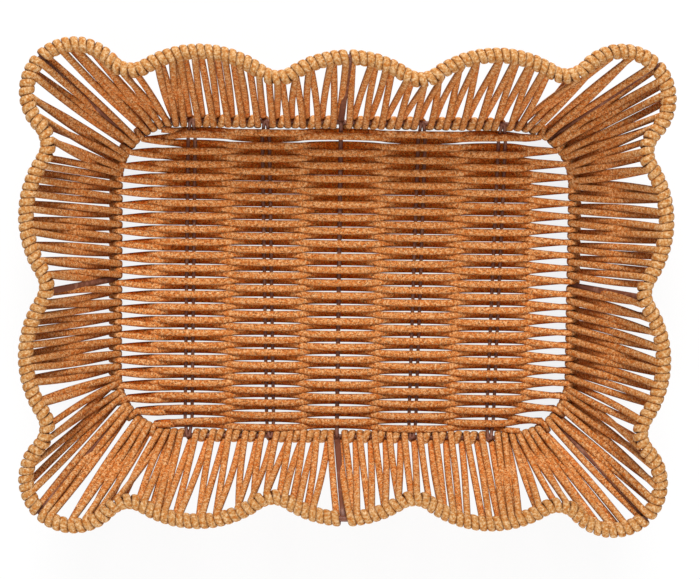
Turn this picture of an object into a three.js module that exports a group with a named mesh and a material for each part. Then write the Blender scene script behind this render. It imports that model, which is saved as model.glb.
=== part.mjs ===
// Scalloped rattan basket: a shallow, open, rectangular basket on a painted wire frame.
// A wavy rim wire stands above a rounded base ring on eight struts. One cord laces the wall in turns
// over the rim and under the ring, and another weaves the base over and under the stakes.
// Units are millimetres, +Z is up, X is the long side and -Y is the front.
import * as THREE from 'three';

// Wires
const ringRadius = 1.4;            // base ring wire
const rimRadius = 1.75;            // rim wire
const centreStakeRadius = 1.3;
const stakeLegRadius = 1.05;       // each leg of a doubled stake
const stakeLegOffset = 2.1;        // from a doubled stake's centre line to each leg
const stakeEndBend = 1.25;         // bend radius where the legs close up at the ring
const strutRadius = 1.3;           // round struts at the corners
const flatStrutWidth = 3.6;        // flat struts in the middle of each side
const flatStrutThickness = 1.9;

// Base ring, measured to the middle of its wire
const ringHalfLength = 138.5;
const ringHalfWidth = 95.3;
const ringCornerRadius = 37;
const stakeBays = 6;               // equal bays between the ring's short sides and the five stakes
const sideStrutY = -3;             // about where the struts of the short sides stand

// Rim, measured to the middle of its wire: round lobes joined by small hollow arcs
const rimHeight = 70;              // above the base ring
const sideLobeRadius = 57.3;
const cornerLobeRadius = 26.6;
const dipRadius = 15;
const shortSidePeak = 179.5;       // from the centre to the lobes of the short sides
const longSidePeak = 132.1;        // from the centre to the outer lobes of the long sides
const middlePeak = 130;            // from the centre to the middle lobe of the long sides
const longSideLobeSpacing = 83;
const shortSideLobeOffset = 39.4;
const cornerLobeX = 152.6;
const cornerLobeY = 108.6;

// Cord and how it lies
const clearance = 0.35;            // air between a cord and the wire that it goes round
const cordThickness = 2.4;         // lacing, flattened where it presses on a wire
const lacingWidth = 3.2;
const weaverThickness = 2.2;       // thinner, so that the base hangs clear of the table
const weaverWidth = 3.4;
const rowGap = 0.44;
const turnsPerBay = 5;             // lacing turns between two stakes
const wideTurns = 8;               // turns each side of the middle before they crowd together
const runUp = 10;                  // length over which a pair of rows closes up at the ring

// Fineness of the faceted wires
const wireSides = 6;
const bendStep = THREE.MathUtils.degToRad(15);

const rowPitch = weaverWidth + rowGap;
const stakeSpacing = (2 * ringHalfLength) / stakeBays;
const turnPitch = stakeSpacing / turnsPerBay;
const cordReach = ringRadius + clearance + cordThickness;
const ringZ = cordReach;
const rimZ = ringZ + rimHeight;
const turnStep = Math.PI / 3;
const weaverReach = ringRadius + clearance + weaverThickness;
const turnInset = cordReach + 3 * clearance;                   // where a pair of rows turns square to the ring
const liftOff = Math.SQRT2 * weaverReach + clearance;          // where a lacing turn leaves the ring wire
const up = new THREE.Vector3(0, 0, 1);

const wireMaterial = new THREE.MeshStandardMaterial({ color: 0x6b4034, roughness: 0.5, metalness: 0.5 });
const laceMaterial = new THREE.MeshStandardMaterial({ color: 0xc98a4e, roughness: 0.75, metalness: 0 });
const weaverMaterial = new THREE.MeshStandardMaterial({ color: 0xc07a40, roughness: 0.75, metalness: 0 });

const basket = new THREE.Group();

function addPiece(name, geometry, material) {
  const mesh = new THREE.Mesh(geometry, material.clone());
  mesh.name = name;
  basket.add(mesh);
}

// Corner points of a regular section, and of a flat one
function roundSection(radius, sides = wireSides) {
  return Array.from({ length: sides }, (_, i) => {
    const angle = (2 * Math.PI * (i + 0.5)) / sides;
    return [radius * Math.cos(angle), radius * Math.sin(angle)];
  });
}

function flatSection(width, thickness) {
  const u = width / 2;
  const v = thickness / 2;
  return [[u, -v], [u, v], [-u, v], [-u, -v]];
}

// A closed skin over rings of points that follow each other, with caps at open ends
function skin(rings, closed) {
  const count = rings[0].length;
  const index = [];
  const spans = closed ? rings.length : rings.length - 1;
  for (let r = 0; r < spans; r++) {
    const here = r * count;
    const next = ((r + 1) % rings.length) * count;
    for (let i = 0; i < count; i++) {
      const j = (i + 1) % count;
      index.push(here + i, here + j, next + j, here + i, next + j, next + i);
    }
  }
  if (!closed) {
    const last = (rings.length - 1) * count;
    for (let i = 1; i < count - 1; i++) {
      index.push(0, i + 1, i, last, last + i, last + i + 1);
    }
  }
  const points = rings.flat();
  let volume = 0;
  for (let i = 0; i < index.length; i += 3) {
    const [a, b, c] = [points[index[i]], points[index[i + 1]], points[index[i + 2]]];
    volume += a.dot(b.clone().cross(c));
  }
  if (volume < 0) {
    index.reverse();
  }
  const geometry = new THREE.BufferGeometry();
  geometry.setAttribute('position', new THREE.Float32BufferAttribute(points.flatMap((p) => p.toArray()), 3));
  geometry.setIndex(index);
  return geometry;
}

// A section swept along points. sideAt gives the axis that the path bends about at each point.
function sweep(points, section, sideAt, closed = false) {
  const count = points.length;
  const rings = points.map((point, i) => {
    const before = points[(i - 1 + count) % count];
    const after = points[(i + 1) % count];
    const arrive = point.clone().sub(before).normalize();
    const leave = after.clone().sub(point).normalize();
    if (!closed && i === 0) {
      arrive.copy(leave);
    }
    if (!closed && i === count - 1) {
      leave.copy(arrive);
    }
    const along = arrive.clone().add(leave).normalize();
    const side = sideAt(i).clone().addScaledVector(along, -sideAt(i).dot(along)).normalize();
    const across = along.clone().cross(side);
    const mitre = 1 / Math.max(arrive.dot(along), 0.5);
    return section.map(([u, v]) => point.clone().addScaledVector(side, u).addScaledVector(across, v * mitre));
  });
  return skin(rings, closed);
}

// A line of points with positions measured along it
class Line {
  constructor(points) {
    this.points = points;
    this.starts = [0];
    points.forEach((point, i) => {
      this.starts.push(this.starts[i] + point.distanceTo(points[(i + 1) % points.length]));
    });
    this.length = this.starts[points.length];
    this.edges = points.map((point, i) => points[(i + 1) % points.length].clone().sub(point).normalize());
    this.bends = this.edges.map((edge, i) => edge.clone().add(this.edges.at(i - 1)).normalize());
  }

  // The tangent turns evenly along each edge, so that it halves the bend at every corner point
  at(distance) {
    const s = ((distance % this.length) + this.length) % this.length;
    const i = Math.max(this.starts.findIndex((start, k) => k > 0 && start >= s) - 1, 0);
    const share = (s - this.starts[i]) / (this.starts[i + 1] - this.starts[i]);
    const centre = this.points[i].clone().addScaledVector(this.edges[i], s - this.starts[i]);
    const nearBend = share < 0.5 ? this.bends[i] : this.bends[(i + 1) % this.bends.length];
    const toBend = Math.abs(1 - 2 * share);
    const tangent = this.edges[i].clone().lerp(nearBend, toBend).normalize();
    return { centre, tangent, outward: new THREE.Vector3(tangent.y, -tangent.x, 0) };
  }

  // Distance along the line of its point nearest to (x, y)
  near(x, y) {
    let best = { gap: Infinity, distance: 0 };
    this.points.forEach((from, i) => {
      const to = this.points[(i + 1) % this.points.length];
      const edge = to.clone().sub(from);
      const share = THREE.MathUtils.clamp(
        ((x - from.x) * edge.x + (y - from.y) * edge.y) / edge.lengthSq(), 0, 1);
      const gap = Math.hypot(from.x + share * edge.x - x, from.y + share * edge.y - y);
      if (gap < best.gap) {
        best = { gap, distance: this.starts[i] + share * edge.length() };
      }
    });
    return best.distance;
  }
}

function arcPoints(centre, radius, from, to, z) {
  const steps = Math.max(1, Math.ceil(Math.abs(to - from) / bendStep));
  return Array.from({ length: steps + 1 }, (_, i) => {
    const angle = from + ((to - from) * i) / steps;
    return new THREE.Vector3(centre.x + radius * Math.cos(angle), centre.y + radius * Math.sin(angle), z);
  });
}

function withoutRepeats(points) {
  const closeness = 0.01;
  return points.filter((point, i) => point.distanceTo(points[(i + 1) % points.length]) > closeness);
}

// Rounded rectangle, anticlockwise from the middle of the right side
function roundedRectangle(halfLength, halfWidth, radius, z) {
  const corners = [[1, 1], [-1, 1], [-1, -1], [1, -1]];
  const points = corners.flatMap(([sx, sy], i) => {
    const centre = new THREE.Vector2(sx * (halfLength - radius), sy * (halfWidth - radius));
    return arcPoints(centre, radius, (i * Math.PI) / 2, ((i + 1) * Math.PI) / 2, z);
  });
  return [new THREE.Vector3(halfLength, 0, z), ...points];
}

// The rim's lobes in order, anticlockwise from the right side's back lobe
function rimLobes() {
  const side = shortSidePeak - sideLobeRadius;
  const outer = longSidePeak - sideLobeRadius;
  const middle = middlePeak - sideLobeRadius;
  const lobe = (name, x, y, radius) => ({ name, centre: new THREE.Vector2(x, y), radius });
  return [
    lobe('right_back', side, shortSideLobeOffset, sideLobeRadius),
    lobe('corner_back_right', cornerLobeX, cornerLobeY, cornerLobeRadius),
    lobe('back_right', longSideLobeSpacing, outer, sideLobeRadius),
    lobe('back_middle', 0, middle, sideLobeRadius),
    lobe('back_left', -longSideLobeSpacing, outer, sideLobeRadius),
    lobe('corner_back_left', -cornerLobeX, cornerLobeY, cornerLobeRadius),
    lobe('left_back', -side, shortSideLobeOffset, sideLobeRadius),
    lobe('left_front', -side, -shortSideLobeOffset, sideLobeRadius),
    lobe('corner_front_left', -cornerLobeX, -cornerLobeY, cornerLobeRadius),
    lobe('front_left', -longSideLobeSpacing, -outer, sideLobeRadius),
    lobe('front_middle', 0, -middle, sideLobeRadius),
    lobe('front_right', longSideLobeSpacing, -outer, sideLobeRadius),
    lobe('corner_front_right', cornerLobeX, -cornerLobeY, cornerLobeRadius),
    lobe('right_front', side, -shortSideLobeOffset, sideLobeRadius),
  ];
}

// Centre of the hollow arc that touches two neighbouring lobes from outside
function dipBetween(first, second) {
  const reachFirst = first.radius + dipRadius;
  const reachSecond = second.radius + dipRadius;
  const apart = second.centre.clone().sub(first.centre);
  const distance = apart.length();
  const along = (reachFirst ** 2 - reachSecond ** 2 + distance ** 2) / (2 * distance);
  const aside = Math.sqrt(Math.max(reachFirst ** 2 - along ** 2, 0));
  const direction = apart.normalize();
  const outward = new THREE.Vector2(direction.y, -direction.x);
  return first.centre.clone().addScaledVector(direction, along).addScaledVector(outward, aside);
}

function angleTo(from, to) {
  return Math.atan2(to.y - from.y, to.x - from.x);
}

function rimPoints(lobes, dips) {
  const turn = 2 * Math.PI;
  const points = lobes.flatMap((lobe, i) => {
    const previousDip = dips[(i - 1 + dips.length) % dips.length];
    const next = lobes[(i + 1) % lobes.length];
    const from = angleTo(lobe.centre, previousDip);
    const swing = (((angleTo(lobe.centre, dips[i]) - from) % turn) + turn) % turn;
    const dipFrom = angleTo(dips[i], lobe.centre);
    const dipSwing = (((dipFrom - angleTo(dips[i], next.centre)) % turn) + turn) % turn;
    return [
      ...arcPoints(lobe.centre, lobe.radius, from, from + swing, rimZ),
      ...arcPoints(dips[i], dipRadius, dipFrom, dipFrom - dipSwing, rimZ),
    ];
  });
  return withoutRepeats(points);
}

const lobes = rimLobes();
const dips = lobes.map((lobe, i) => dipBetween(lobe, lobes[(i + 1) % lobes.length]));
const rim = new Line(rimPoints(lobes, dips));
const ring = new Line(withoutRepeats(roundedRectangle(ringHalfLength, ringHalfWidth, ringCornerRadius, ringZ)));

addPiece('rim_wire', sweep(rim.points, roundSection(rimRadius), () => up, true), wireMaterial);
addPiece('base_ring', sweep(ring.points, roundSection(ringRadius), () => up, true), wireMaterial);

const stakeXs = [-2, -1, 0, 1, 2].map((bay) => bay * stakeSpacing);
const stakeHalfWidth = stakeLegOffset + stakeLegRadius;

// Stakes: one single wire in the middle and four doubled ones, all ending at the ring
const stakeReach = ringHalfWidth - ringRadius - clearance;

function doubledStakePoints(x) {
  const closing = 3 * stakeLegOffset;
  const bendY = stakeReach - stakeLegRadius - stakeEndBend;
  const bend = arcPoints(new THREE.Vector2(0, bendY), stakeEndBend, 0, Math.PI, ringZ);
  const back = [new THREE.Vector3(stakeLegOffset, bendY - closing, ringZ), ...bend,
    new THREE.Vector3(-stakeLegOffset, bendY - closing, ringZ)];
  const loop = [...back, ...back.map((p) => new THREE.Vector3(-p.x, -p.y, p.z))];
  return loop.map((p) => p.add(new THREE.Vector3(x, 0, 0)));
}

stakeXs.forEach((x, i) => {
  if (x === 0) {
    const ends = [new THREE.Vector3(x, -stakeReach, ringZ), new THREE.Vector3(x, stakeReach, ringZ)];
    addPiece('centre_stake', sweep(ends, roundSection(centreStakeRadius), () => up), wireMaterial);
  } else {
    const name = ['stake_left_outer', 'stake_left_inner', '', 'stake_right_inner', 'stake_right_outer'][i];
    addPiece(name, sweep(doubledStakePoints(x), roundSection(stakeLegRadius), () => up, true), wireMaterial);
  }
});

// Base weave: one cord from side to side, over and under the stakes and round the ring wire
const rowRoom = ringHalfWidth - cordReach - clearance - weaverWidth / 2;
const rowCount = 2 * Math.floor(rowRoom / rowPitch) + 1;
const rowY = (row) => (row - (rowCount - 1) / 2) * rowPitch;
const weaverSection = flatSection(weaverWidth, weaverThickness);
const overWire = (radius) => radius + clearance + weaverThickness / 2;

// Place on the ring that faces a pair of rows squarely, at the right side (1) or the left (-1)
function facingPlace(side, y) {
  const cornerX = ringHalfLength - ringCornerRadius;
  const cornerY = ringHalfWidth - ringCornerRadius;
  const past = Math.max(Math.abs(y) - cornerY, 0);
  return ring.near(side * (cornerX + Math.sqrt((ringCornerRadius - turnInset) ** 2 - past ** 2)), y);
}

// The first row sets out from the right, so that odd rows run to the right and turn there
function rowTurns(side) {
  const first = side === 1 ? 1 : 0;
  return Array.from({ length: (rowCount - 1) / 2 }, (_, k) => rowY(first + 2 * k + 0.5));
}

function weaverStations() {
  const stations = [];
  const across = new THREE.Vector3(0, 1, 0);
  const landing = stakeHalfWidth + clearance;
  for (let row = 0; row < rowCount; row++) {
    const y = rowY(row);
    const heading = row % 2 === 1 ? 1 : -1;
    const ringLevel = ringZ + (row % 2 === 1 ? -1 : 1) * overWire(ringRadius);
    const endAt = (side, pairY, turns) => {
      const spot = ring.at(facingPlace(side, pairY));
      const along = spot.tangent.clone().multiplyScalar(side);
      const at = (reach) => spot.centre.clone().addScaledVector(spot.outward, reach).setZ(ringLevel);
      const inner = at(-turnInset);
      const start = { point: new THREE.Vector3(inner.x - side * runUp, y, ringLevel), side: across };
      const turn = [{ point: inner, side: along }, { point: at(overWire(ringRadius)), side: along }];
      return turns ? [start, ...turn] : [start];
    };
    const before = row > 0 ? rowY(row - 0.5) : y;
    const after = row < rowCount - 1 ? rowY(row + 0.5) : y;
    stations.push(...endAt(-heading, before, row > 0).reverse());
    const order = heading === 1 ? [0, 1, 2, 3, 4] : [4, 3, 2, 1, 0];
    order.forEach((i) => {
      const over = (i + row) % 2 === 1 ? 1 : -1;
      const z = ringZ + over * overWire(stakeXs[i] === 0 ? centreStakeRadius : stakeLegRadius);
      stations.push({ point: new THREE.Vector3(stakeXs[i] - heading * landing, y, z), side: across });
      stations.push({ point: new THREE.Vector3(stakeXs[i] + heading * landing, y, z), side: across });
    });
    stations.push(...endAt(heading, after, row < rowCount - 1));
  }
  return stations;
}

const weaver = weaverStations();
const weaverPoints = weaver.map(({ point }) => point);
addPiece('base_weave', sweep(weaverPoints, weaverSection, (i) => weaver[i].side), weaverMaterial);

// Where rows turn round the ring, in order along it
const rowTurnPlaces = [1, -1].flatMap((side) => rowTurns(side).map((y) => facingPlace(side, y))).sort((a, b) => a - b);

// Middle of the room between two neighbouring row turns, as near as can be to a point
function roomNear(x, y) {
  const middles = rowTurnPlaces.map((place, i) => {
    const next = rowTurnPlaces[(i + 1) % rowTurnPlaces.length] + (i + 1 < rowTurnPlaces.length ? 0 : ring.length);
    return ((place + next) / 2) % ring.length;
  });
  const gap = (place) => Math.hypot(ring.at(place).centre.x - x, ring.at(place).centre.y - y);
  return middles.reduce((best, place) => (gap(place) < gap(best) ? place : best));
}

// Lacing turns round the ring: their places along it, between the turns of the rows
function ringPlaces() {
  const cornerX = ringHalfLength - ringCornerRadius;
  const longSides = [];
  for (let k = 1; (k * turnPitch) / 2 < cornerX; k++) {
    const x = (k * turnPitch) / 2;
    const besideStake = k % (2 * turnsPerBay) === 0;
    const apart = k % 2 === 1 || k > 2 * wideTurns;
    if (apart && !besideStake) {
      [[x, 1], [-x, 1], [-x, -1], [x, -1]].forEach(([px, sy]) => longSides.push(ring.near(px, sy * ringHalfWidth)));
    }
  }
  const leastPitch = ((lacingWidth + weaverWidth) / 2 + rowGap) / (1 - cordReach / ringCornerRadius);
  const taken = [...longSides.map((place) => ({ place, lacing: true })),
    ...rowTurnPlaces.map((place) => ({ place, lacing: false }))].sort((a, b) => a.place - b.place);
  return taken.flatMap(({ place, lacing }, i) => {
    const next = taken[(i + 1) % taken.length];
    const gap = (next.place - place + ring.length) % ring.length;
    const crowded = lacing && next.lacing && gap < 1.5 * turnPitch;
    const parts = crowded ? 1 : Math.max(Math.floor(gap / leastPitch), lacing || next.lacing ? 1 : 2);
    const between = Array.from({ length: parts - 1 }, (_, k) => (place + (gap * (k + 1)) / parts) % ring.length);
    return lacing ? [place, ...between] : between;
  }).sort((a, b) => a - b);
}

// Struts stand in the middle of each side and at each corner, on the short sides between row turns
const diagonal = Math.SQRT1_2;
const cornerFootX = ringHalfLength - ringCornerRadius * (1 - diagonal);
const cornerFootY = ringHalfWidth - ringCornerRadius * (1 - diagonal);
const cornerHeadX = cornerLobeX + cornerLobeRadius * diagonal;
const cornerHeadY = cornerLobeY + cornerLobeRadius * diagonal;
const dipX = dips[dips.length - 1].x - dipRadius;

function sideStrut(name, side) {
  const foot = roomNear(side * ringHalfLength, sideStrutY);
  return { name, foot, head: rim.near(side * dipX, ring.at(foot).centre.y), flat: true };
}

function longSideStrut(name, side) {
  return { name, foot: ring.near(0, side * ringHalfWidth), head: rim.near(0, side * middlePeak), flat: true };
}

function cornerStrut(name, sx, sy) {
  return { name, foot: roomNear(sx * cornerFootX, sy * cornerFootY), head: rim.near(sx * cornerHeadX, sy * cornerHeadY) };
}

const strutSpots = [
  sideStrut('strut_right', 1),
  cornerStrut('strut_back_right', 1, 1),
  longSideStrut('strut_back', 1),
  cornerStrut('strut_back_left', -1, 1),
  sideStrut('strut_left', -1),
  cornerStrut('strut_front_left', -1, -1),
  longSideStrut('strut_front', -1),
  cornerStrut('strut_front_right', 1, -1),
];

strutSpots.forEach((spot) => {
  const foot = ring.at(spot.foot);
  const head = rim.at(spot.head);
  const rise = head.centre.clone().sub(foot.centre).normalize();
  const thickness = spot.flat ? flatStrutThickness / 2 : strutRadius;
  const points = [
    foot.centre.clone().addScaledVector(rise, ringRadius + clearance + thickness / 2),
    head.centre.clone().addScaledVector(rise, -(rimRadius + clearance + thickness / 2)),
  ];
  const section = spot.flat ? flatSection(flatStrutWidth, flatStrutThickness) : roundSection(strutRadius);
  addPiece(spot.name, sweep(points, section, () => foot.tangent), wireMaterial);
});

// Pair every turn on the ring with a place on the rim, spread evenly between two struts.
// A flat strut on a short side takes the room of one turn.
function lacingTurns() {
  const places = ringPlaces();
  return strutSpots.flatMap((spot, i) => {
    const next = strutSpots[(i + 1) % strutSpots.length];
    const ringSpan = (next.foot - spot.foot + ring.length) % ring.length;
    const rimSpan = (next.head - spot.head + rim.length) % rim.length;
    const margin = (strut) => (strut.flat ? 1 : -1) * (lacingWidth / 2);
    const here = places.map((place) => (place - spot.foot + lacingWidth + ring.length) % ring.length - lacingWidth)
      .filter((s) => s > margin(spot) && s < ringSpan - Math.abs(margin(next))).sort((a, b) => a - b);
    return here.map((s, k) => ({
      ring: (spot.foot + s + ring.length) % ring.length,
      rim: (spot.head + ((k + 0.5) / here.length) * rimSpan) % rim.length,
    }));
  });
}

// Sections of the cord round a wire, at the corners between flats that touch the given angles.
// Each lies in the plane of the wire's axis, so that every flat stays parallel to the wire.
function turnSections(frame, wireRadius, flats) {
  const reach = wireRadius + clearance + cordThickness / 2;
  return flats.slice(1).map((flat, i) => {
    const half = (flat - flats[i]) / 2;
    const across = frame.outward.clone().multiplyScalar(Math.cos(flats[i] + half))
      .addScaledVector(up, Math.sin(flats[i] + half))
      .divideScalar(Math.cos(half));
    return { point: frame.centre.clone().addScaledVector(across, reach), side: frame.tangent, across };
  });
}

function wallAngle(foot, head, outward) {
  const rise = head.centre.clone().sub(foot.centre);
  return Math.atan2(rise.z, rise.dot(outward));
}

// Section where a stretch along the wall begins to lean, clear of the cords round the ring
function liftSection(frame, face, wall) {
  const towards = (angle) => frame.outward.clone().multiplyScalar(Math.cos(angle)).addScaledVector(up, Math.sin(angle));
  const reach = ringRadius + clearance + cordThickness / 2;
  const point = frame.centre.clone().addScaledVector(towards(face), reach).addScaledVector(towards(wall), liftOff);
  return { point, side: frame.tangent, across: towards(face) };
}

// Sections of one turn: over the rim, down inside and under the ring
function turnPath(turn) {
  const foot = ring.at(turn.ring);
  const head = rim.at(turn.rim);
  const top = wallAngle(foot, head, head.outward);
  const bottom = wallAngle(foot, head, foot.outward);
  const under = 1.5 * Math.PI;
  const inside = bottom + Math.PI / 2;
  const outside = bottom + 1.5 * Math.PI;
  const rimFlats = [-1.5, -0.5, 0.5, 1.5].map((k) => top + k * turnStep);
  const ringFlats = [inside, (inside + under) / 2, under, outside];
  return [
    ...turnSections(head, rimRadius, rimFlats),
    liftSection(foot, inside, bottom),
    ...turnSections(foot, ringRadius, ringFlats),
    liftSection(foot, outside, bottom),
  ];
}

// Neighbouring cords meet end to end half way up the outside of the wall
function meetingSection(from, to, way) {
  const along = to.point.clone().sub(from.point).normalize();
  return {
    point: from.point.clone().lerp(to.point, 0.5).addScaledVector(along, (way * clearance) / 2),
    side: from.side.clone().lerp(to.side, 0.5).normalize(),
    across: from.across.clone().lerp(to.across, 0.5).cross(along).cross(along).normalize().negate(),
  };
}

// One lacing cord through its turns, from the cord before it to the cord after it
function lacingPath(before, turns, after) {
  const path = turns.flatMap(turnPath);
  const start = meetingSection(turnPath(before).at(-1), path[0], 1);
  const end = meetingSection(path.at(-1), turnPath(after)[0], -1);
  return [start, ...path, end];
}

function lacingGeometry(path) {
  const section = flatSection(lacingWidth, cordThickness);
  const rings = path.map(({ point, side, across }) => section.map(
    ([u, v]) => point.clone().addScaledVector(side, u).addScaledVector(across, v)));
  return skin(rings, false);
}

// Least air between turns of a cord, measured on points along its middle line
function leastGap(points, width, skip) {
  const step = 2;
  const farthest = 12 * skip;
  const marks = [];
  let travelled = 0;
  points.slice(1).forEach((to, i) => {
    const from = points[i];
    const length = from.distanceTo(to);
    const parts = Math.max(1, Math.round(length / step));
    for (let k = 0; k < parts; k++) {
      marks.push({ point: from.clone().lerp(to, k / parts), at: travelled + (length * k) / parts });
    }
    travelled += length;
  });
  let least = Infinity;
  marks.forEach((a, i) => {
    for (let j = i + 1; j < marks.length; j++) {
      const b = marks[j];
      if (b.at - a.at > skip && b.at - a.at < farthest) {
        least = Math.min(least, a.point.distanceTo(b.point) - width);
      }
    }
  });
  return least;
}

const dipPlaces = dips.map((dip, i) => {
  const towards = lobes[i].centre.clone().add(lobes[(i + 1) % lobes.length].centre).multiplyScalar(0.5);
  const inward = towards.sub(dip).normalize();
  return rim.near(dip.x + inward.x * dipRadius, dip.y + inward.y * dipRadius);
});

function lobeAt(place) {
  const s = ((place % rim.length) + rim.length) % rim.length;
  const index = dipPlaces.findIndex((dip, i) => {
    const previous = dipPlaces.at(i - 1);
    return previous < dip ? s > previous && s <= dip : s > previous || s <= dip;
  });
  return lobes[index].name;
}

// The cords run clockwise as seen from above, one for each lobe of the rim
const turns = lacingTurns().reverse();
const lobeNames = turns.map((turn) => lobeAt(turn.rim));
let leastLacingGap = Infinity;
lobes.forEach(({ name }) => {
  const count = lobeNames.filter((other) => other === name).length;
  const start = lobeNames.findIndex((other, i) => other === name && lobeNames.at(i - 1) !== name);
  const cyclic = (i) => turns[(i + turns.length) % turns.length];
  const mine = Array.from({ length: count }, (_, i) => cyclic(start + i));
  const path = lacingPath(cyclic(start - 1), mine, cyclic(start + count));
  leastLacingGap = Math.min(leastLacingGap, leastGap(path.map(({ point }) => point), lacingWidth, rimHeight));
  addPiece(`lacing_${name}`, lacingGeometry(path), laceMaterial);
});

console.log(`lacing turns: ${turns.length}, least gap ${leastLacingGap.toFixed(2)} mm`);
console.log(`base weave: ${rowCount} rows, least gap ${leastGap(weaverPoints, weaverWidth, turnPitch).toFixed(2)} mm`);

export default basket;
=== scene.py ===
"""Scalloped rattan basket on a pale table, seen from above.

A wavy rim wire and a rounded base ring stand in one frame, painted brown. One cord laces the wall
in turns over the rim and under the ring, and another weaves the base over and under the stakes.
Sizes are millimetres until a mesh is made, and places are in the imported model's own frame.
"""

from __future__ import annotations

import logging
import math
import random
from dataclasses import dataclass, field
from enum import Enum
from typing import Sequence

import bpy
import numpy as np
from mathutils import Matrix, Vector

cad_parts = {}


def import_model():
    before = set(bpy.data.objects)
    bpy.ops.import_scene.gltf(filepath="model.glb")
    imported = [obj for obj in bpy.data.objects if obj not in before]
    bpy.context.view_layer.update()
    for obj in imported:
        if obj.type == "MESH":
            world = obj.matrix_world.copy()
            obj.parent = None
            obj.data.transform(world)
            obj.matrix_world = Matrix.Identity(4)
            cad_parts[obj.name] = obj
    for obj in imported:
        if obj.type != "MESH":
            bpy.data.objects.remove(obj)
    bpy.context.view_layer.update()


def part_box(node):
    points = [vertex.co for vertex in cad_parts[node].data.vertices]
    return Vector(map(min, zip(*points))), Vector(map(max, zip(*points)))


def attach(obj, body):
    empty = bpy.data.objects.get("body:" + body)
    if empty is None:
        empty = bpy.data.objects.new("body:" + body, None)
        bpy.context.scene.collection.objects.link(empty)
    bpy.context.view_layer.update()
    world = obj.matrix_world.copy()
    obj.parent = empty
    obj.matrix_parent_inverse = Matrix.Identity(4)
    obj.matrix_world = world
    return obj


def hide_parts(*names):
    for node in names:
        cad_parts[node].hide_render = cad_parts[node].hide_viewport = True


LOG = logging.getLogger("basket")
MM = 0.001
TURN = 2.0 * math.pi
UP = np.array((0.0, 0.0, 1.0))
SEED = 11
WIRE_SIDES = 14
CORD_SQUARENESS = 2.2
CORD_GIRTH = 12.0
FLANK_SHADE_POWER = 6
SAME_POINT = 1e-6
TOWARDS_BACK = np.array((0.0, 1.0, 0.0))
QUARTERS = ((1, 1), (-1, 1), (-1, -1), (1, -1))

Triple = tuple[float, float, float]
PlaneLine = list[list[float]]
Socket = bpy.types.NodeSocket


def neighbours(items: Sequence) -> zip:
    """Each item with the next one, and the last with the first."""
    return zip(items, [*items[1:], items[0]])


def unit(vector: np.ndarray) -> np.ndarray:
    """The vector at length one."""
    return vector / np.linalg.norm(vector)


def blend(low: float, high: float, share: float) -> float:
    """A value between low and high that starts and ends gently.

    Args:
        low: The value at a share of 0.
        high: The value at a share of 1.
        share: How far along, cut to the range from 0 to 1.

    Returns:
        The eased value.
    """
    t = min(max(share, 0.0), 1.0)
    return low + (high - low) * t * t * (3.0 - 2.0 * t)


def arc(centre: Sequence[float], radius: float, start: float, end: float, step: float = 0.05) -> PlaneLine:
    """Points along an arc in the plane.

    Args:
        centre: The arc's centre.
        radius: The arc's radius.
        start: The first point's angle, in radians.
        end: The last point's angle, in radians.
        step: The most that the angle changes between two points.

    Returns:
        The points, first and last included.
    """
    count = max(2, math.ceil(abs(end - start) / step))
    angles = np.linspace(start, end, count + 1)
    return [[centre[0] + radius * math.cos(a), centre[1] + radius * math.sin(a)] for a in angles]


@dataclass(frozen=True)
class WireSpot:
    """A place on a level wire: its centre, the way along it and the way outwards."""

    centre: np.ndarray
    tangent: np.ndarray
    outward: np.ndarray

    def around(self, radius: float, angle: float) -> np.ndarray:
        """The point at a distance from the wire's axis.

        Args:
            radius: Distance from the axis.
            angle: 0 is outwards and a quarter turn is up.

        Returns:
            The point.
        """
        return self.centre + radius * (math.cos(angle) * self.outward + math.sin(angle) * UP)


class LevelLoop:
    """A closed level line, anticlockwise from above, with places measured along it."""

    def __init__(self, points: Sequence[Sequence[float]], height: float) -> None:
        """Measures the line.

        Args:
            points: Corner points in the plane, close enough together to look smooth.
            height: Height of the line.
        """
        plane = np.array(points, dtype=float)
        keep = np.linalg.norm(np.roll(plane, -1, axis=0) - plane, axis=1) > SAME_POINT
        self.height = height
        self.closed = np.vstack([plane[keep], plane[keep][:1]])
        self.starts = np.concatenate([[0.0], np.cumsum(np.linalg.norm(np.diff(self.closed, axis=0), axis=1))])
        self.length = float(self.starts[-1])

    def plane_point(self, place: float) -> np.ndarray:
        """The point in the plane at a distance along the line."""
        s = place % self.length
        return np.array([np.interp(s, self.starts, self.closed[:, k]) for k in (0, 1)])

    def spot(self, place: float, reach: float = 0.8) -> WireSpot:
        """The wire's frame at a distance along the line.

        Args:
            place: Distance along the line.
            reach: Half length over which the direction is taken.

        Returns:
            The frame there.
        """
        along = unit(self.plane_point(place + reach) - self.plane_point(place - reach))
        centre = self.plane_point(place)
        return WireSpot(
            np.array((centre[0], centre[1], self.height)),
            np.array((along[0], along[1], 0.0)),
            np.array((along[1], -along[0], 0.0)),
        )

    def nearest(self, x: float, y: float) -> float:
        """Place of the line's point that is nearest to a point in the plane.

        Args:
            x: The point's place along the long way.
            y: The point's place along the short way.

        Returns:
            Distance along the line.
        """
        steps = np.diff(self.closed, axis=0)
        away = np.array((x, y)) - self.closed[:-1]
        lengths = np.diff(self.starts)
        shares = np.clip(np.sum(away * steps, axis=1) / lengths**2, 0.0, 1.0)
        gaps = np.linalg.norm(away - shares[:, None] * steps, axis=1)
        best = int(np.argmin(gaps))
        return float(self.starts[best] + shares[best] * lengths[best]) % self.length


@dataclass(frozen=True)
class Lobe:
    """One round lobe of the rim."""

    name: str
    x: float
    y: float
    radius: float


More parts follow.
